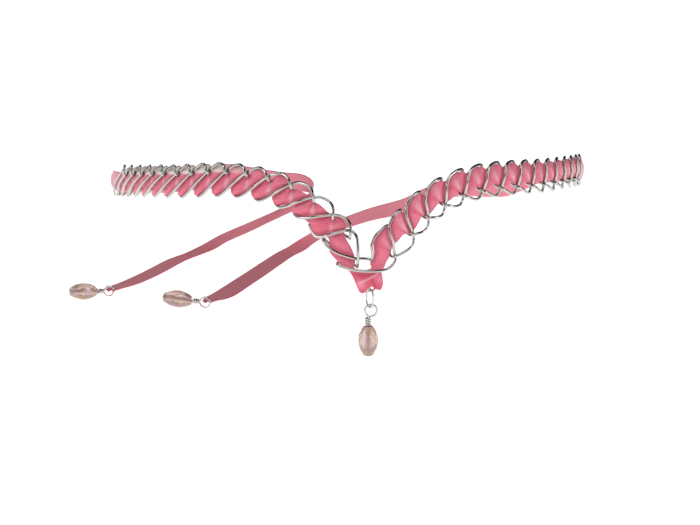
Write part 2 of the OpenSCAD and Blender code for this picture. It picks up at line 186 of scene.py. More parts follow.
def through(rows, steps):
    """Rows on a smooth curve through the given rows, with so many steps from row to row."""
    fine = []
    for i in range(len(rows) - 1):
        a, b, c, d = rows[max(i - 1, 0)], rows[i], rows[i + 1], rows[min(i + 2, len(rows) - 1)]
        for k in range(steps):
            t = k / steps
            fine.append([.5 * (2 * q + (r - p) * t + (2 * p - 5 * q + 4 * r - s) * t * t
                               + (3 * q - p - 3 * r + s) * t ** 3) for p, q, r, s in zip(a, b, c, d)])
    return fine + [list(rows[-1])]


# The band's own coordinates: distance along the ring from the front, height, out from the ring

def ring_table():
    """Rows of distance along the ring from the front and the angle there, for half the ring."""
    rows, gone = [], 0
    for i in range(180 // TURN_STEP + 1):
        rows.append((gone, i * TURN_STEP))
        t = (i + .5) * TURN_STEP
        gone += math.hypot(RING_HALF_W * cos_deg(t), RING_HALF_D * sin_deg(t)) * math.pi / 180 * TURN_STEP
    return rows


ALONG_RING = ring_table()


def ring_turn(d):
    return math.copysign(lookup(abs(d), ALONG_RING), d)


def spot(p):
    """The place in space, in mm, of a point of the band."""
    t = ring_turn(p[0])
    out = Vector((sin_deg(t) / RING_HALF_W, -cos_deg(t) / RING_HALF_D, 0)).normalized()
    return Vector((RING_HALF_W * sin_deg(t), -RING_HALF_D * cos_deg(t), p[1])) + p[2] * out


def level(d):
    """Height of the band's middle."""
    t = ring_turn(d)
    return FRONT_RISE * cos_deg(t) + SIDE_RISE * sin_deg(t) + smooth(DIP, d)


# How far from the front the band is unrolled
UNROLLED_REACH = 176


def unrolled(way):
    """Rows of distance along the dipping band and distance along the ring, for one half."""
    rows, gone = [], 0
    for i in range(UNROLLED_REACH):
        rows.append((gone, i))
        gone += math.hypot(1, level(way * (i + 1)) - level(way * i))
    return rows


LEFT_UNROLLED, RIGHT_UNROLLED = unrolled(-1), unrolled(1)


def strip(u, w, out):
    """A point of the unrolled band: distance along it, distance across it, out."""
    d = -lookup(-u, LEFT_UNROLLED) if u < 0 else lookup(u, RIGHT_UNROLLED)
    rise = level(d + 1) - level(d - 1)
    long = math.hypot(2, rise)
    return (d - w * rise / long, level(d) + 2 * w / long, out)


def on_left(along, up, out=RIBBON_OUT):
    """A point in the loops of the left half: pitches along, height from 0 to 1, out."""
    u = LEFT_START + LOOP_PITCH * along
    return strip(u + smooth(LEAN, u) * (up - .5), (up - .5) * LOOP_HIGH, out)


def on_right(along, up, out=RIBBON_OUT):
    """The same for the right half."""
    u = RIGHT_START + LOOP_PITCH * along
    return strip(u + smooth(LEAN, u) * (up - .5), (up - .5) * LOOP_HIGH * RIGHT_SHARE, out)


# Materials

# What the cloth tells its material, as painted shade and light: how deep in a fold it lies (painted
# shade), how much it catches the light (painted highlight), how far its top is turned upward (painted pale
# light; on the loose ends, how far the band's lit colour reaches past the seam)
SHADES = ("fold", "ridge_highlight", "top_light_and_seam")


def plug(tree, node, inputs):
    """Sets a node's inputs, or links them where the value is another node's output."""
    for label, value in inputs.items():
        if isinstance(value, bpy.types.NodeSocket):
            tree.links.new(value, node.inputs[label])
        else:
            node.inputs[label].default_value = value
    return node


def add_node(tree, kind, inputs=(), **settings):
    node = tree.nodes.new(kind)
    for key, value in settings.items():
        setattr(node, key, value)
    return plug(tree, node, dict(inputs))


def maths(tree, operation, *values, **settings):
    return add_node(tree, "ShaderNodeMath", enumerate(values), operation=operation, **settings).outputs[0]


def ranged(tree, *ends, **settings):
    """A value, the range it comes in, and the range it goes out in (0 to 1 if not given)."""
    return add_node(tree, "ShaderNodeMapRange", enumerate(ends), **settings).outputs[0]


def mottle(tree, place, scale, detail):
    return add_node(tree, "ShaderNodeTexNoise",
                    {"Vector": place, "Scale": scale, "Detail": detail}).outputs[0]


def stretched(tree, place, scale):
    return add_node(tree, "ShaderNodeMapping", {"Vector": place, "Scale": scale}).outputs[0]


def object_place(tree):
    return add_node(tree, "ShaderNodeTexCoord").outputs["Object"]


def colour_mix(tree, factor, a, b):
    a, b = (value if isinstance(value, bpy.types.NodeSocket) else (*value, 1) for value in (a, b))
    return add_node(tree, "ShaderNodeMix", {0: factor, 6: a, 7: b}, data_type="RGBA").outputs[2]


def bumps(tree, height, strength, distance):
    return add_node(tree, "ShaderNodeBump",
                    {"Height": height, "Strength": strength, "Distance": distance}).outputs[0]


def node_group(name, inputs, outputs):
    group = bpy.data.node_groups.new(name, "ShaderNodeTree")
    for label in inputs:
        group.interface.new_socket(label, in_out="INPUT", socket_type="NodeSocketFloat").default_value = 1
    for label in outputs:
        group.interface.new_socket(label, in_out="OUTPUT", socket_type="NodeSocketFloat")
    return group, group.nodes.new("NodeGroupInput").outputs, group.nodes.new("NodeGroupOutput")


def satin_group():
    """Thread by thread height and shade of satin, on a UV map in centimetres."""
    group, given, result = node_group("Satin threads", ("Threads", "Slubs"), ("Height", "Shade"))
    uv = add_node(group, "ShaderNodeUVMap", uv_map="ribbon").outputs[0]
    slanted = add_node(group, "ShaderNodeMapping",
                       {"Vector": uv, "Rotation": (0, 0, math.radians(38))}).outputs[0]
    twill = add_node(group, "ShaderNodeTexWave", {
        "Vector": slanted, "Scale": 5.6, "Distortion": 2.4, "Detail": 2.0, "Detail Scale": 3.0},
        bands_direction="X").outputs["Fac"]
    warp = mottle(group, stretched(group, uv, (8, 60, 1)), 1.0, 3.0)
    grain = mottle(group, uv, 24.0, 2.0)
    slub = mottle(group, stretched(group, uv, (1.2, 5, 1)), 1.0, 4.0)
    fine = maths(group, "ADD", maths(group, "ADD", twill, warp), grain)
    fine = maths(group, "MULTIPLY", fine, given["Threads"])
    plug(group, result, {"Height": maths(group, "MULTIPLY_ADD", slub, given["Slubs"], fine),
                         "Shade": ranged(group, fine, .85, 1.75, .1, 1.0)})
    return group


def wear_group():
    """Fine drawn lines and dull spots of silver wire, on Object coordinates."""
    group, given, result = node_group("Wire wear", ("Dull",), ("Height", "Spots"))
    place = object_place(group)
    spots = ranged(group, mottle(group, place, 260.0, 4.0), .45, .75)
    plug(group, result, {"Height": mottle(group, place, 1500.0, 2.0),
                         "Spots": maths(group, "MULTIPLY", spots, given["Dull"])})
    return group


SATIN_THREADS = satin_group()
WIRE_WEAR = wear_group()


def new_material(name):
    material = bpy.data.materials.new(name)
    material.use_nodes = True
    return material, material.node_tree, material.node_tree.nodes["Principled BSDF"]


def satin(name, deep, lit, ridge_highlight, upward, gloss, thread_depth, sheen):
    """Satin: painted shade in folds with the deep colour, lit colour on open cloth, painted highlight on
    ridges and painted pale light where its top turns upward.
    """
    material, tree, shader = new_material(name)
    threads = add_node(tree, "ShaderNodeGroup", {"Threads": 1.0, "Slubs": .8}, node_tree=SATIN_THREADS)
    shade = threads.outputs["Shade"]
    fold, on_ridge, top_light_and_seam = (add_node(tree, "ShaderNodeAttribute", attribute_name=label).outputs["Fac"]
                                 for label in SHADES)
    # Painted shade and light: the deep colour in folds, the ridge colour on ridges, the pale upward colour
    # where the top turns upward
    colour = colour_mix(tree, maths(tree, "SUBTRACT", shade, fold, use_clamp=True), deep, lit)
    colour = colour_mix(tree, on_ridge, colour, ridge_highlight)
    plug(tree, shader, {
        "Base Color": colour_mix(tree, top_light_and_seam, colour, upward),
        "Roughness": ranged(tree, shade, 0, 1, gloss + .1, gloss - .06),
        "Normal": bumps(tree, threads.outputs["Height"], 1.0, thread_depth * MM),
        "Specular IOR Level": .55, "Sheen Weight": sheen, "Sheen Roughness": .35,
        "Sheen Tint": (1, .75, .8, 1)})
    return material


# Tone of the dull spots on silver, as a share of the bright tone
DULL_TONE = .72


def silver(name, tone, gloss, dull):
    """Silver wire, darker and duller in its spots."""
    material, tree, shader = new_material(name)
    wear = add_node(tree, "ShaderNodeGroup", {"Dull": dull}, node_tree=WIRE_WEAR).outputs
    plug(tree, shader, {
        "Base Color": colour_mix(tree, wear["Spots"], tone, tuple(DULL_TONE * c for c in tone)),
        "Roughness": ranged(tree, wear["Spots"], 0, 1, gloss, gloss + .16),
        "Normal": bumps(tree, wear["Height"], .15, .02 * MM),
        "Metallic": 1})
    return material


def crystal_glass():
    """Smoky glass with a shimmering coat, clearer in some places than in others."""
    material, tree, shader = new_material("Smoky rose crystal")
    haze = ranged(tree, mottle(tree, object_place(tree), 330.0, 2.0), .38, .6)
    plug(tree, shader, {
        "Base Color": colour_mix(tree, haze, (.72, .53, .57), (.82, .62, .46)),
        "Roughness": ranged(tree, haze, 0, 1, .08, .26),
        "IOR": 1.54, "Transmission Weight": .72, "Coat Weight": .4,
        "Thin Film Thickness": 340, "Thin Film IOR": 1.6})
    return material


# Satin colours: the deep colour is painted shade in folds, the ridge colour a painted highlight, the
# upward colour painted pale light on the turned-up top
SATIN = satin("Rose satin", deep=(.74, .075, .145), lit=(.95, .235, .34), ridge_highlight=(.98, .47, .56),
              upward=(1, .84, .8), gloss=.38, thread_depth=.024, sheen=.35)
# The loose ends' satin stands for the same satin in shade: its colours are painted shade. Its upward
# colour is the band's lit colour, into which it blends near the seam.
TAIL_SATIN = satin("Rose satin in shade", deep=(.8, .185, .25), lit=(1, .35, .43), ridge_highlight=(.96, .42, .48),
                   upward=(.95, .235, .34), gloss=.55, thread_depth=.015, sheen=.12)
BRIGHT_WIRE = silver("Polished silver wire", tone=(.53, .53, .505), gloss=.08, dull=.5)
FINE_WIRE = silver("Fine silver wire", tone=(.6, .6, .575), gloss=.12, dull=.8)
CRYSTAL = crystal_glass()


# Making pieces

def add_object(name, data):
    obj = bpy.data.objects.new(name, data)
    bpy.context.scene.collection.objects.link(obj)
    return obj


def mesh_object(name, bm, rounded=True):
    """An object from a bmesh, with smooth shading if it is rounded."""
    mesh = bpy.data.meshes.new(name)
    bm.to_mesh(mesh)
    bm.free()
    if rounded:
        mesh.shade_smooth()
    return add_object(name, mesh)


def show(obj, material, body, slot, *nodes):
    """Gives a piece its material, the body it rides on and the CAD nodes it stands for. Its slot is not
    used.
    """
    obj.data.materials.clear()
    obj.data.materials.append(material)
    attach(obj, body)
    if nodes:
        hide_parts(*nodes)


WIRE_SIDES = 10


def round_wire(name, path, radius, closed=False):
    """Round wire along points in mm."""
    curve = bpy.data.curves.new(name + "_path", "CURVE")
    curve.dimensions = "3D"
    curve.bevel_depth = radius * MM
    curve.bevel_resolution = (WIRE_SIDES - 4) // 2
    curve.use_fill_caps = not closed
    line = curve.splines.new("POLY")
    line.points.add(len(path) - 1)
    for point, place in zip(line.points, path):
        point.co = (*(place * MM), 1)
    line.use_cyclic_u = closed
    swept = add_object(name + "_path", curve)
    bpy.context.view_layer.update()
    mesh = bpy.data.meshes.new_from_object(swept.evaluated_get(bpy.context.evaluated_depsgraph_get()))
    bpy.data.objects.remove(swept)
    bm = bmesh.new()
    bm.from_mesh(mesh)
    bmesh.ops.remove_doubles(bm, verts=bm.verts, dist=1e-7)
    bmesh.ops.recalc_face_normals(bm, faces=bm.faces)
    bm.to_mesh(mesh)
    bm.free()
    mesh.shade_smooth()
    return add_object(name, mesh)


def cloth_strip(name, rows, shades, thick):
    """A ribbon from rows of points across it, in mm, with a UV map in centimetres."""
    across, count = len(rows[0]), len(rows)
    bm = bmesh.new()
    bmesh.ops.create_grid(bm, x_segments=across - 1, y_segments=count - 1, size=1)
    uv = bm.loops.layers.uv.new("ribbon")
    gone = [0]
    for a, b in zip(rows, rows[1:]):
        gone.append(gone[-1] + (b[across // 2] - a[across // 2]).length)
    layers = [bm.verts.layers.float.new(label) for label in SHADES]
    place = {}
    for vert in bm.verts:
        i = round((vert.co.x + 1) / 2 * (across - 1))
        j = round((vert.co.y + 1) / 2 * (count - 1))
        place[vert] = (gone[j] / 10, TAIL_W / 10 * i / (across - 1))
        vert.co = rows[j][i] * MM
        for layer, value in zip(layers, shades[j][i]):
            vert[layer] = value
    for face in bm.faces:
        for loop in face.loops:
            loop[uv].uv = place[loop.vert]
    obj = mesh_object(name, bm)
    wall = obj.modifiers.new("thickness", "SOLIDIFY")
    wall.thickness = thick * MM
    wall.offset = 0
    return obj


# The long wire

# Numbers of the loops of each half, and how much further left the first right hook stands
LEFT_NUMBERS, RIGHT_NUMBERS = range(-LEFT_LOOPS - 2, -2), range(2, RIGHT_LOOPS + 2)
FIRST_HOOK = .16
COIL_STEPS = 4


def coil_table():
    """Rows of the whole wire, from the band's left end to its right end."""
    rows = [on_left(n + along, up, out) for n in LEFT_NUMBERS for along, up, out in LEFT_LOOP]
    rows += FRONT_WIRE
    rows += [on_right(1 + along, up, out) for along, up, out in RIGHT_LOOP[FRONT_JOIN:]]
    for n in RIGHT_NUMBERS:
        for along, up, out in RIGHT_LOOP:
            shift = FIRST_HOOK if n == RIGHT_NUMBERS[0] and along < -.2 else 0
            rows.append(on_right(n + along - shift, up, out))
    return rows


COIL_ROWS = coil_table()
coil = round_wire("coil_wire_bright", [spot(p) for p in through(COIL_ROWS, COIL_STEPS)], WIRE_R)
show(coil, BRIGHT_WIRE, "band", "silver_wire", "coil_wire")


# The woven ribbon, pressed between the front legs and the rear legs of the wire

# Steps from row to row in which the wire near the cloth is searched
NEAR_STEPS = 8
# The rows of a loop in which the wire dives through the cloth
LEFT_DIVE, RIGHT_DIVE = (8.8, 12), 3.2
# From here outwards a leg counts as in front of the cloth, and from here inwards as behind it
IN_FRONT, BEHIND = .15, -.4


def near_wire(front):
    """Wire in front of the cloth or behind it, without the dives where it goes through the cloth."""
    left = len(LEFT_LOOP) * LEFT_LOOPS
    right = left + len(FRONT_WIRE) + len(RIGHT_LOOP) - FRONT_JOIN
    picked = []
    for i, p in enumerate(through(COIL_ROWS, NEAR_STEPS)):
        row = i / NEAR_STEPS
        dives = row < left - 1 and LEFT_DIVE[0] < row % len(LEFT_LOOP) < LEFT_DIVE[1]
        if row > right:
            dives = (row - right) % len(RIGHT_LOOP) < RIGHT_DIVE
        if not dives and (p[2] > IN_FRONT if front else p[2] < BEHIND):
            picked.append(p)
    tree = kdtree.KDTree(len(picked))
    for i, p in enumerate(picked):
        tree.insert((p[0], p[1], 0), i)
    tree.balance()
    return tree, picked


FRONT_LEGS, REAR_LEGS = near_wire(True), near_wire(False)

# From the middle of a leg to the middle of the cloth it presses on, with the gap between them
PRESS = WIRE_R + CLOTH_T / 2 + .02
# How far a leg's press reaches, how wide it is at full strength, and how the cloth gives beside it
PRESS_REACH, PRESS_FLAT, GIVE, GIVE_CURVE = 1.6, .15, .9, 1.2


def pressed(s, z, out):
    """How far out the cloth stands, held down by the wire in front and up by the wire behind."""
    tree, picked = FRONT_LEGS
    for _, i, far in tree.find_range((s, z, 0), PRESS_REACH):
        out = min(out, picked[i][2] - PRESS + GIVE * max(far - PRESS_FLAT, 0) ** GIVE_CURVE)
    tree, picked = REAR_LEGS
    for _, i, far in tree.find_range((s, z, 0), PRESS_REACH):
        out = max(out, picked[i][2] + PRESS - GIVE * max(far - PRESS_FLAT, 0) ** GIVE_CURVE)
    return out


# Pinches, from which soft folds with painted highlights and painted shade fan out: place, direction of the
# fan's middle, side of its deep fold
PINCHES = ([(*on_left(n + 1.22, .66)[:2], -1.62, -1) for n in LEFT_NUMBERS]
           + [(*on_right(n + .58, .36)[:2], 2.1, 1) for n in range(1, RIGHT_LOOPS + 2)])
# A fan's reach, its start and where it is full, the height of its folds and its folds a radian
FAN_REACH, FAN_START, FAN_FULL, FAN_HIGH, FAN_FOLDS = 6.2, .05, .4, .3, 7
# In radians: half the width of a ridge's painted highlight, and how far beside it the deep fold's painted
# shade lies
RIDGE_WIDE, DEEP_AWAY = .26, .6


def fanned(s, z):
    """Folds that fan out from the pinches nearby: height, painted highlight on a ridge, painted shade on
    the deep side.
    """
    high = ridge_highlight = shaded = 0
    for k, (ps, pz, way, side) in enumerate(PINCHES):
        ds, dz = s - ps, z - pz
        if abs(ds) > FAN_REACH or abs(dz) > FAN_REACH:
            continue
        far = math.hypot(ds, dz)
        turn = math.remainder(math.atan2(dz, ds) - way, 2 * math.pi)
        if FAN_START < far < FAN_REACH and abs(turn) < math.pi / 2:
            shift = noise.noise((k * 3.7, 1.3, .4))
            fade = min(far / FAN_FULL, 1) * (1 - far / FAN_REACH) * math.cos(turn) ** 2
            high += FAN_HIGH * fade * math.cos((FAN_FOLDS + shift) * turn + .6 * shift)
            ridge_highlight += fade * math.exp(-((turn - .1 * shift) / RIDGE_WIDE) ** 2)
            shaded += fade * math.exp(-((turn - side * (DEEP_AWAY + .1 * shift)) / RIDGE_WIDE) ** 2)
    return high, ridge_highlight, shaded


# Folds of the tip, as distance along and height: a fold across it with a painted highlight, the creases
# under and over that with painted shade, and its two places of painted pale light
TIP_FOLD = [(-2.6, -18.7), (-1.95, -18.4), (1.34, -16.9), (2.44, -16)]
TIP_CREASES = [[(.6, -17.4), (1.15, -18.6), (1.76, -20.1)], [(.9, -16.1), (1.7, -16), (2.4, -15.5)]]
TIP_PALE = [(-2.4, -19.2), (2.9, -17.8)]
TIP_FOLD_WIDE, TIP_CREASE_WIDE, TIP_PALE_WIDE = .24, .34, 1.3
# Height at which the tip starts, its half width, where its painted shade starts to deepen towards the
# point and over how much
TIP_TOP, TIP_HALF_W, TIP_DEEP, TIP_DEEPENS = -14, 5, -15.5, 1.5


def line_away(s, z, line):
    """How far a place on the band is from a bent line."""
    here = Vector((s, z))
    best = math.inf
    for a, b in zip(line, line[1:]):
        a, b = Vector(a), Vector(b)
        t = clamp((here - a).dot(b - a) / (b - a).length_squared)
        best = min(best, (here - a - t * (b - a)).length)
    return best


def tip_folds(s, z):
    """Height, painted light and painted shade that the folds of the tip add."""
    if z > TIP_TOP or abs(s) > TIP_HALF_W:
        return 0, 0, 0
    light = math.exp(-(line_away(s, z, TIP_FOLD) / TIP_FOLD_WIDE) ** 2)
    dark = max(math.exp(-(line_away(s, z, line) / TIP_CREASE_WIDE) ** 2) for line in TIP_CREASES)
    pale = max(math.exp(-((s - a) ** 2 + (z - b) ** 2) / TIP_PALE_WIDE) for a, b in TIP_PALE)
    low = clamp((TIP_DEEP - z) / TIP_DEEPENS)
    high = .3 * light - .25 * dark
    # Painted highlight on the fold and the pale places; painted shade in the creases and deepening towards
    # the point
    bright = .8 * light + .3 * pale * low
    deep = .9 * dark + .6 * low * (1 - light) * (1 - pale)
    return high, bright, deep


# Points across the ribbon, how far it puffs up between the legs, and over what distance from a leg
ACROSS, PILLOW, PUFF_NEAR, PUFF_CURVE = 27, 1.25, 1.1, 1.6
# Share of a loop's height above which the top edge turns upward and is painted pale as painted light, how
# softly that painted light comes in, and how far back the edge turns
TOP_TURN, TURN_SOFT, TURN_BACK = .72, .035, 14
# The low side of the left half lies in shade: below which share of the height, how softly, up to
# where along the band, and how deep
LOW_EDGE, LOW_SOFT, LOW_UNTIL, LOW_SHADE = .34, .3, -10, .4
# Shade beside a leg and how far it reaches, shade of a deep fold, how far a ridge clears the shade,
# and how light a ridge is
LEG_SHADE, LEG_REACH, DEEP_SHADE, RIDGE_CLEARS, RIDGE_LIGHT = .25, .45, .65, .7, 1.35
# Small waves of the cloth: height, and waves a mm
WAVE_HIGH, WAVE_FINE = .06, .7


def across_row(row):
    """Points across the ribbon and their painted shade and light, from one row of its course: low edge,
    middle, top edge, how much it puffs up, how much its top turns upward (and is painted pale), heights of
    the three in the loop."""
    low, mid, top, (puff, upward), heights = row[0:3], row[3:6], row[6:9], row[9:11], row[11:14]
    points, shades = [], []
    for i in range(ACROSS):
        v = i / (ACROSS - 1)
        shares = ((1 - v) * (1 - 2 * v), 4 * v * (1 - v), v * (2 * v - 1))
        s, z, out = (sum(k * p[c] for k, p in zip(shares, (low, mid, top))) for c in range(3))
        up = sum(k * h for k, h in zip(shares, heights))
        far = FRONT_LEGS[0].find((s, z, 0))[2]
        rise = 1 - math.exp(-(far / PUFF_NEAR) ** PUFF_CURVE)
        high, ridge_highlight, shaded = fanned(s, z)
        tip_high, tip_light, tip_deep = tip_folds(s, z)
        out += tip_high
        out += puff * (PILLOW * rise * (.5 + .5 * math.sin(math.pi * v)) + high * (.3 + .7 * rise))
        out += (WAVE_HIGH * noise.noise((s * WAVE_FINE, z * WAVE_FINE, 3.1))
                - upward * max(up - TOP_TURN, 0) ** 2 * TURN_BACK)
        points.append(spot((s, z, pressed(s, z, out))))
        # Painted shade beside the legs, in the fans' deep folds, on the low side and in the tip's creases;
        # painted highlight on ridges and on the tip's fold; painted pale light on the top where it turns
        # upward
        low_side = puff * clamp((LOW_EDGE - up) / LOW_SOFT) * (s < LOW_UNTIL)
        deep = (LEG_SHADE * math.exp(-(far / LEG_REACH) ** 2)
                + puff * (DEEP_SHADE * shaded - RIDGE_CLEARS * ridge_highlight) + LOW_SHADE * low_side)
        light = puff * ridge_highlight * RIDGE_LIGHT + tip_light
        top_light_and_seam = upward * clamp((up - TOP_TURN) / TURN_SOFT)
        shades.append((clamp(deep + tip_deep), clamp(light), top_light_and_seam))
    return points, shades


def ribbon_piece(name, rows):
    made = [across_row(row) for row in rows]
    return cloth_strip(name, [points for points, _ in made], [shades for _, shades in made], CLOTH_T)


# Rows of the bare ribbon, how much wider it gets towards the loops, how far its middle bulges and
# over how many degrees of a sine
BARE_ROWS, BARE_WIDENS, BARE_BULGE, BARE_ARC = 7, .6, 1.2, 150


def bare_rows(end, start):
    """Rows of the bare ribbon from its end to where the loops start."""
    rows = []
    for k in (i / BARE_ROWS for i in range(BARE_ROWS)):
        along = end[0] + (start - end[0]) * k
        rows.append([c for w in (-1, 0, 1)
                     for c in strip(along, end[1] * (1 - k) + w * (end[2] + BARE_WIDENS * k),
                                    RIBBON_OUT + (0 if w else BARE_BULGE * sin_deg(BARE_ARC * k)))]
                    + [0, 0, 0, 0, 0])
    return rows


# Edges of the ribbon within one loop, from one pinch to the next: share of the pitch, height.
# The top edge of the far left loops stands higher.
LEFT_TOP = [(0, .7), (.04, .735), (.08, .81), (.12, .87), (.2, .92), (.35, .955), (.5, .945), (.63, .9),
            (.74, .84), (.83, .79), (.9, .75), (.96, .715), (1, .7)]
LEFT_TOP_FAR = [(0, .86), (.08, .93), (.2, .98), (.38, 1), (.55, .985), (.66, .95), (.8, .85), (.9, .77),
                (.96, .76), (1, .86)]
LEFT_LOW = [(0, .05), (.15, .11), (.3, .19), (.42, .27), (.5, .25), (.6, .15), (.7, .075), (.8, .045),
            (.9, .045), (1, .05)]
RIGHT_TOP = [(0, .975), (.12, .955), (.2, .925), (.28, .86), (.33, .85), (.4, .9), (.55, .95), (.8, .975),
             (1, .975)]
# Heights of the ribbon's middle line, and how far ahead of the low edge the middle and the top are
LEFT_MID, LEFT_MID_AHEAD, LEFT_TOP_AHEAD = .38, .42, .85
RIGHT_MID, RIGHT_MID_AHEAD, RIGHT_TOP_AHEAD = .6, .17, .35
# How far the tables of the left top edge are shifted against the pitch, and where in a pitch the
# right ribbon's low edge and top edge start anew
LEFT_TOP_SHIFT, RIGHT_LOW_START, RIGHT_TOP_START = .6, .72, .8
# Height of the top edge's pinches on the left
PINCH_HIGH = .7
# The pitch from which the left ribbon narrows at the dip, over how many pitches, and by what share
NARROWS, NARROWS_OVER, NARROWS_BY = -4.75, .2, .78
# The pitch from which its top edge turns upward towards the far left, and over how many pitches
TURNS_UP, TURNS_OVER = -6, 2.5
# Lowest height of the right ribbon's low edge, its rise in a pitch, and the shares of the pitch over
# which it rises and falls back
RIGHT_LOW, RIGHT_RISE, RISES_OVER, FALLS_OVER = .22, .17, .8, .2


def left_row(a):
    """One row across the left ribbon, at this pitch."""
    low = lookup(a % 1, LEFT_LOW)
    filled = 1 - NARROWS_BY * clamp((a - NARROWS) / NARROWS_OVER)
    top = PINCH_HIGH + filled * (lookup((a + LEFT_TOP_SHIFT) % 1, LEFT_TOP) - PINCH_HIGH)
    upward = clamp((TURNS_UP - a) / TURNS_OVER)
    top += upward * (lookup((a + LEFT_TOP_SHIFT) % 1, LEFT_TOP_FAR) - top)
    return [*on_left(a, low), *on_left(a + LEFT_MID_AHEAD, LEFT_MID), *on_left(a + LEFT_TOP_AHEAD, top),
            1, upward, low, LEFT_MID, top]


def right_row(a):
    """One row across the right ribbon, at this pitch."""
    phase = (a - RIGHT_LOW_START) % 1
    rise = min(phase / RISES_OVER, 1) ** 1.2
    low = RIGHT_LOW + RIGHT_RISE * rise * min((1 - phase) / FALLS_OVER, 1)
    top = lookup((a + RIGHT_TOP_AHEAD - RIGHT_TOP_START) % 1, RIGHT_TOP)
    return [*on_right(a, low), *on_right(a + RIGHT_MID_AHEAD, RIGHT_MID),
            *on_right(a + RIGHT_TOP_AHEAD, top), 1, 0, low, RIGHT_MID, top]


# How much the ribbon's arms puff up, as a share of the ribbon in the loops
ARM_PUFF = .6


def arm_rows(rows, low, high):
    """Rows of an arm, with the columns at which its low edge and its high edge start."""
    return [[r[low], r[low + 1], RIBBON_OUT + min(r[4], 0), (r[0] + r[2]) / 2, (r[1] + r[3]) / 2,
             RIBBON_OUT + r[4] * .5, r[high], r[high + 1], RIBBON_OUT + min(r[4], 0), ARM_PUFF, 0, 0, 0, 0]
            for r in rows]


# Pitches from row to row in the loops, and steps from row to row elsewhere
LOOP_STEP, BAND_STEPS = .05, 6
# Distance along the band at which the bare ribbon meets the loops on each side
LEFT_LOOPS_FROM, RIGHT_LOOPS_UNTIL = -124, 114


def looped_rows(row, first, last):
    """Rows between two pitches, without these two."""
    return [row(first + LOOP_STEP * i) for i in range(1, round((last - first) / LOOP_STEP))]


def left_course():
    """Rows of the left ribbon: bare, in the loops, and down its arm to the tip."""
    first, last = -LEFT_LOOPS - 1.75, -3
    bare = bare_rows(LEFT_END, LEFT_LOOPS_FROM) + [left_row(first), left_row(first + .5)]
    arm = [left_row(last - .3), left_row(last)] + arm_rows(LEFT_ARM, 0, 2)
    return (through(bare, BAND_STEPS)[:-BAND_STEPS] + looped_rows(left_row, first, last)
            + through(arm, BAND_STEPS)[BAND_STEPS:])


def right_course():
    """Rows of the right ribbon: up its arm from the tip, in the loops, and bare."""
    first, last = 2.5, RIGHT_LOOPS + 2.75
    arm = arm_rows(RIGHT_ARM, 2, 0) + [right_row(first), right_row(first + .3)]
    bare = [right_row(last - .5), right_row(last)] + bare_rows(RIGHT_END, RIGHT_LOOPS_UNTIL)[::-1]
    return (through(arm, BAND_STEPS)[:-BAND_STEPS] + looped_rows(right_row, first, last)
            + through(bare, BAND_STEPS)[BAND_STEPS:])


left_ribbon = ribbon_piece("woven_ribbon_left", left_course())
right_ribbon = ribbon_piece("woven_ribbon_right", right_course())
show(left_ribbon, SATIN, "band", "satin", "woven_ribbon")
show(right_ribbon, SATIN, "band", "satin")


# The loose ends

TAIL_ACROSS, TAIL_STEPS = 11, 8
# A loose end passes from the band's lit colour to its own painted shade up to this row, over so many rows
SEAM_UNTIL, SEAM_LONG = 3.5, 2.5
# Its first two rows lie on the band: how far beyond the band's end, and their bearing and lift
ON_BAND, ON_BAND_TURN = (-.8, 3), (90, 88)
# Depth of the folds where it gathers and how close they are, depth of the hollow across it
GATHER, GATHER_FINE, CUP = .55, 7, .12
# Its small waves: depth, and how close they are along it and across it
TAIL_WAVE, WAVE_ALONG, WAVE_ACROSS = .1, .06, .7


def tail_strip(name, end, rows, wave_seed):
    """A loose end: flat ribbon that gathers to a narrow end on its wire loop."""
    start = [[*spot(strip(end[0] + math.copysign(1, end[0]) * d, end[1], RIBBON_OUT)), *ON_BAND_TURN,
              end[2] * 2 / TAIL_W] for d in ON_BAND]
    path = through(start + rows, TAIL_STEPS)
    points = [Vector(p[:3]) for p in path]
    strips, shades = [], []
    for i, (bearing, lift, share) in enumerate(p[3:] for p in path):
        # Near the seam the loose end takes the band's lit colour, fading into its own painted shade
        shades.append([(0, 0, clamp((SEAM_UNTIL - i / TAIL_STEPS) / SEAM_LONG))] * TAIL_ACROSS)
        along = (points[min(i + 1, len(points) - 1)] - points[max(i - 1, 0)]).normalized()
        side = Vector((cos_deg(bearing) * cos_deg(lift), sin_deg(bearing) * cos_deg(lift), sin_deg(lift)))
        side = (side - side.dot(along) * along).normalized()
        up = along.cross(side)
        if up.z < 0:
            up = -up
        line = []
        for k in range(TAIL_ACROSS):
            v = 2 * k / (TAIL_ACROSS - 1) - 1
            fold = max(1 - share, 0) * GATHER * math.cos(v * GATHER_FINE)
            cup = CUP * v * v + TAIL_WAVE * noise.noise((i * WAVE_ALONG, v * WAVE_ACROSS, wave_seed))
            line.append(points[i] + side * (v * TAIL_W * share / 2) + up * (fold + cup))
        strips.append(line)
    return cloth_strip(name, strips, shades, TAIL_T)


left_tail = tail_strip("left_tail_satin", LEFT_END, LEFT_TAIL, 2.0)
right_tail = tail_strip("right_tail_satin", RIGHT_END, RIGHT_TAIL, 5.0)
show(left_tail, TAIL_SATIN, "band", "satin_tail", "left_tail")
show(right_tail, TAIL_SATIN, "band", "satin_tail", "right_tail")


# Rings, link, wired beads

def shifted(x, y, z):
    return Matrix.Translation((x, y, z))


def turned(axis, angle):
    return Matrix.Rotation(math.radians(angle), 4, axis)


def placed(matrix, path):
    return [matrix @ p for p in path]


def circle_path(r, start, sweep, steps):
    """Points of a ring in its own x-z plane."""
    return [Vector((r * cos_deg(a), 0, r * sin_deg(a)))
            for a in (start + sweep * i / steps for i in range(steps + 1))]


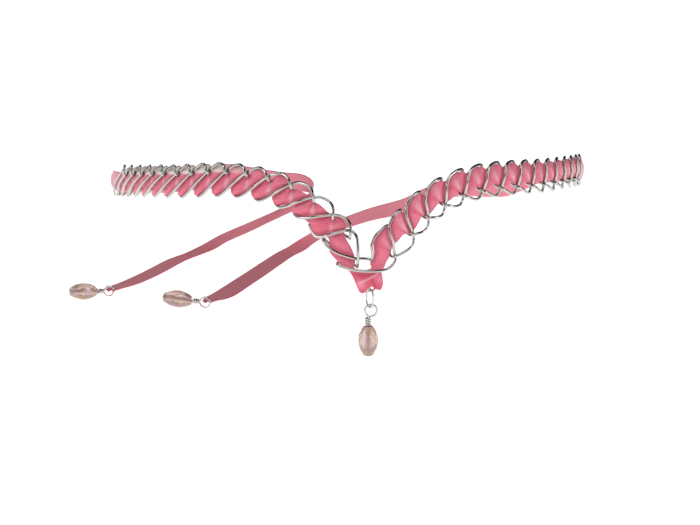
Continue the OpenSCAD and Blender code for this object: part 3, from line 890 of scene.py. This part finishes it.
AT_FRONT_RING = Matrix.Translation(FRONT_RING) @ turned("Z", FRONT_TURN)
AT_LINK = AT_FRONT_RING @ shifted(-LINK_SIDE, 0, LINK_Z) @ turned("Z", 90)
AT_DROP = (AT_FRONT_RING @ shifted(-LINK_SIDE, 0, LOOP_Z) @ turned("Z", -FRONT_TURN)
           @ shifted(LOOP_SIDE, 0, 0))


def at_hook(x, y, z, bearing, lift):
    return shifted(x, y, z) @ turned("Z", bearing - 180) @ turned("Y", 90 + lift)


# The front ring's wire starts at this angle and stops short of a full turn, with a small gap
RING_FROM, RING_SWEEP, RING_STEPS = 74, 354, 48
LINK_STEPS = 20

ring_path = circle_path(RING_R, RING_FROM, RING_SWEEP, RING_STEPS)
front_ring = round_wire("front_ring_open", placed(AT_FRONT_RING, ring_path), FINE_R)
show(front_ring, FINE_WIRE, "band", "silver_wire", "front_ring")
half = Vector((0, 0, LINK_LONG - LINK_R))
link_path = ([p + half for p in circle_path(LINK_R, 0, 180, LINK_STEPS)]
             + [p - half for p in circle_path(LINK_R, 180, 180, LINK_STEPS)])
front_link = round_wire("front_link_oval", placed(AT_LINK, link_path), FINE_R, closed=True)
show(front_link, FINE_WIRE, "link", "silver_wire", "front_link")

# How far the loop of a bead wire goes round
LOOP_SWEEP, LOOP_STEPS = -338, 44
# Turns of the wrapped neck, steps in a turn, its radius and where it starts round the pin
WRAP_TURNS, WRAP_STEPS, WRAP_R, WRAP_FROM = 3, 14, .62, 40
# How far below the loop the wrap starts, and how much longer it is than its neck
WRAP_BELOW, WRAP_LONGER = .42, 1.1
# The foot's radius, height and bevel, and how far its middle stands beyond the pin's end
FOOT_R, FOOT_HIGH, FOOT_BEVEL, FOOT_BEYOND = .56, .3, .08, .14


def bead_wire(name, place, neck, pin, side):
    """Pin, closed loop and wrapped neck in one wire, with a foot under the bead."""
    top = math.sqrt(LOOP_R ** 2 - side ** 2)
    start = math.degrees(math.atan2(-top, -side))
    path = [Vector((-side, 0, z)) for z in (-pin - .1, -pin * .7, -LOOP_R - 1.6, -LOOP_R - .5)]
    path += circle_path(LOOP_R, start, LOOP_SWEEP, LOOP_STEPS)
    for i in range(WRAP_TURNS * WRAP_STEPS + 1):
        a = 360 * i / WRAP_STEPS + WRAP_FROM
        low = -LOOP_R - WRAP_BELOW - (neck - 2 * FINE_R) * i / (WRAP_TURNS * WRAP_STEPS) * WRAP_LONGER
        path.append(Vector((-side + WRAP_R * cos_deg(a), WRAP_R * sin_deg(a), low)))
    wire = round_wire(name, placed(place, path), FINE_R)
    bm = bmesh.new()
    bmesh.ops.create_cone(bm, cap_ends=True, segments=16, radius1=FOOT_R, radius2=FOOT_R, depth=FOOT_HIGH)
    rims = [e for e in bm.edges if abs(e.verts[0].co.z - e.verts[1].co.z) < .01]
    bmesh.ops.bevel(bm, geom=rims, offset=FOOT_BEVEL, offset_type="OFFSET", segments=2, profile=.5,
                    affect="EDGES", material=-1)
    bmesh.ops.transform(bm, matrix=Matrix.Scale(MM, 4) @ place @ shifted(-side, 0, -pin - FOOT_BEYOND),
                        verts=bm.verts)
    bm.from_mesh(wire.data)
    bm.to_mesh(wire.data)
    bm.free()
    wire.data.shade_smooth()
    return wire


# Rings of the cut of a bead: share of its thickness, share of its length, turn in half facets
CUT = [(.23, 0, 0), (.37, .13, 1), (.46, .29, 0), (.5, .45, 1), (.485, .62, 0), (.41, .8, 1), (.25, 1, 0)]
BEAD_SIDES, HOLE_R = 10, .5


def cut_bead(name, place, long, wide):
    """Oval bead from z = 0 down with flat facets, drilled through."""
    bm = bmesh.new()
    for share, down, turn in CUT:
        for i in range(BEAD_SIDES):
            a = 360 * (i + turn / 2) / BEAD_SIDES
            bmesh.ops.create_vert(bm, co=(share * wide * cos_deg(a), share * wide * sin_deg(a),
                                          -down * long))
    bmesh.ops.convex_hull(bm, input=bm.verts)
    bmesh.ops.dissolve_limit(bm, angle_limit=math.radians(2), verts=bm.verts, edges=bm.edges)
    caps = [f for f in bm.faces if abs(f.normal.z) > .999]
    bmesh.ops.inset_individual(bm, faces=caps, thickness=CUT[0][0] * wide - HOLE_R, depth=0)
    edges = [e for f in caps for e in f.edges]
    bmesh.ops.delete(bm, geom=caps, context="FACES_ONLY")
    bmesh.ops.bridge_loops(bm, edges=[e for e in edges if e.is_valid])
    bmesh.ops.recalc_face_normals(bm, faces=bm.faces)
    bmesh.ops.transform(bm, matrix=Matrix.Scale(MM, 4) @ place, verts=bm.verts)
    return mesh_object(name, bm, rounded=False)


# How far a pin stands out below its bead
PIN_OUT = .1

drop_wire = bead_wire("drop_wire_wrapped", AT_DROP, DROP_NECK, BEAD_TOP + DROP_LONG + PIN_OUT, DROP_SIDE)
show(drop_wire, FINE_WIRE, "drop", "silver_wire", "drop_wire")
drop_bead = cut_bead("drop_bead_cut", AT_DROP @ shifted(-DROP_SIDE, 0, -BEAD_TOP), DROP_LONG, DROP_WIDE)
show(drop_bead, CRYSTAL, "drop", "crystal", "drop_bead")
for side_name, hook in (("left", LEFT_HOOK), ("right", RIGHT_HOOK)):
    at_tail = at_hook(*hook)
    wire = bead_wire(side_name + "_tail_wire_wrapped", at_tail, TAIL_NECK,
                     BEAD_TOP + TAIL_BEAD_LONG + PIN_OUT, 0)
    show(wire, FINE_WIRE, "band", "silver_wire", side_name + "_tail_wire")
    bead = cut_bead(side_name + "_tail_bead_cut", at_tail @ shifted(0, 0, -BEAD_TOP),
                    TAIL_BEAD_LONG, TAIL_BEAD_WIDE)
    show(bead, CRYSTAL, "band", "crystal", side_name + "_tail_bead")


# Studio, in metres

# From the floor's middle outwards: radius and height of the paper
FLOOR_PROFILE = ((0, 0), (1, 0), (2.4, 0), (2.7, .02), (2.9, .1), (3, .3))
# The part of the paper that glows brightly with painted light, which is fixed on it and opens to the rear:
# x and y of the point it opens from, then, as x for each y from there, its middle line and where it starts
# to fade and ends
OPENS_FROM, MIDDLE_LINE, FADES = (-.033, -.491), .0735, (.27, 1.1)
# The y at which that brightness comes in, and the y at which it is full
COMES_IN = (-.6, -.235)
# The paper's own pale tone, the dim glow beside the bright part, and the strength of the glow, which is
# painted light
PAPER, DIM_GLOW, GLOW = .86, .32, .9


def studio_floor():
    """Paper floor with a low rim, so that no horizon shows. It glows with painted light, white where the
    photograph's camera sees it, and fades to a dim light grey glow beside that view and close to the
    camera, for the wire to mirror."""
    bm = bmesh.new()
    profile = [bmesh.ops.create_vert(bm, co=(x, 0, FLOOR_Z * MM + z))["vert"][0] for x, z in FLOOR_PROFILE]
    rim = [bm.edges.new(pair) for pair in zip(profile, profile[1:])]
    bmesh.ops.spin(bm, geom=profile + rim, cent=(0, 0, 0), axis=(0, 0, 1), angle=2 * math.pi, steps=64,
                   use_merge=True)
    bmesh.ops.remove_doubles(bm, verts=bm.verts, dist=1e-5)
    bmesh.ops.recalc_face_normals(bm, faces=bm.faces)
    floor = mesh_object("studio_floor", bm)
    material, tree, shader = new_material("Glowing pale paper")
    x, y, _ = add_node(tree, "ShaderNodeSeparateXYZ", {0: object_place(tree)}).outputs
    aside, deep = (maths(tree, "SUBTRACT", c, start) for c, start in zip((x, y), OPENS_FROM))
    off_line = maths(tree, "SUBTRACT", maths(tree, "DIVIDE", aside, deep), MIDDLE_LINE)
    within = ranged(tree, maths(tree, "ABSOLUTE", off_line), *FADES, 1.0, 0.0,
                    interpolation_type="SMOOTHSTEP")
    behind = ranged(tree, y, *COMES_IN, interpolation_type="SMOOTHSTEP")
    bright = maths(tree, "MULTIPLY", within, behind)
    plug(tree, shader, {
        "Base Color": (PAPER, PAPER, PAPER, 1), "Roughness": .9,
        "Emission Color": colour_mix(tree, bright, (DIM_GLOW,) * 3, (1, 1, 1)), "Emission Strength": GLOW})
    floor.data.materials.append(material)


# Where the lights aim: the front of the crown
LIT_PLACE = Vector((0, -.09, 0))


def softbox(name, place, size, power):
    lamp = bpy.data.lights.new(name, "AREA")
    lamp.shape = "RECTANGLE"
    lamp.size, lamp.size_y = size
    lamp.energy = power
    light = add_object(name, lamp)
    light.location = place
    light.rotation_euler = (LIT_PLACE - Vector(place)).to_track_quat("-Z", "Y").to_euler()


def even_light(power, spread, tilt):
    """One weak wide light from above, in front and a little to the left."""
    sun = bpy.data.lights.new("even_light", "SUN")
    sun.energy = power
    sun.angle = spread
    add_object("even_light", sun).rotation_euler = (*map(math.radians, tilt), 0)


def dim_room():
    """A dark room, a little lighter to the left and darkest overhead."""
    world = bpy.data.worlds.new("studio")
    world.use_nodes = True
    sky = world.node_tree
    way = add_node(sky, "ShaderNodeTexCoord").outputs["Generated"]
    x, _, z = add_node(sky, "ShaderNodeSeparateXYZ", {0: way}).outputs
    from_left = ranged(sky, x, -.95, .1, .3, .03)
    low = ranged(sky, z, .2, .9, 1.0, .15)
    plug(sky, sky.nodes["Background"], {"Color": maths(sky, "MULTIPLY", from_left, low)})
    bpy.context.scene.world = world


# The camera: its own right, up and back directions, its place, its film width and lens in mm
CAMERA_RIGHT, CAMERA_UP = (.997564, -.069756, 0), (.012113, .173225, .984808)
CAMERA_BACK, CAMERA_PLACE = (-.068696, -.982408, .173648), (-.032948, -.491204, .056824)
FILM_W, LENS_LONG = 36, 76.16


def photo_camera():
    """The camera at the photograph's angle."""
    lens = bpy.data.cameras.new("camera")
    lens.sensor_width = FILM_W
    lens.lens = LENS_LONG
    lens.clip_start, lens.clip_end = .01, 100
    camera = add_object("camera", lens)
    camera.matrix_world = Matrix((*zip(CAMERA_RIGHT, CAMERA_UP, CAMERA_BACK, CAMERA_PLACE), (0, 0, 0, 1)))
    bpy.context.scene.camera = camera


studio_floor()
softbox("left_softbox", (-.85, -.6, .5), (.35, .6), 2.3)
softbox("right_softbox", (.8, -.55, .3), (.3, .5), 1.9)
softbox("high_softbox", (-.7, .5, .8), (.6, .6), 1.6)
even_light(.58, .6, (30, -8))
dim_room()
photo_camera()
bpy.context.scene.view_settings.view_transform = "Standard"
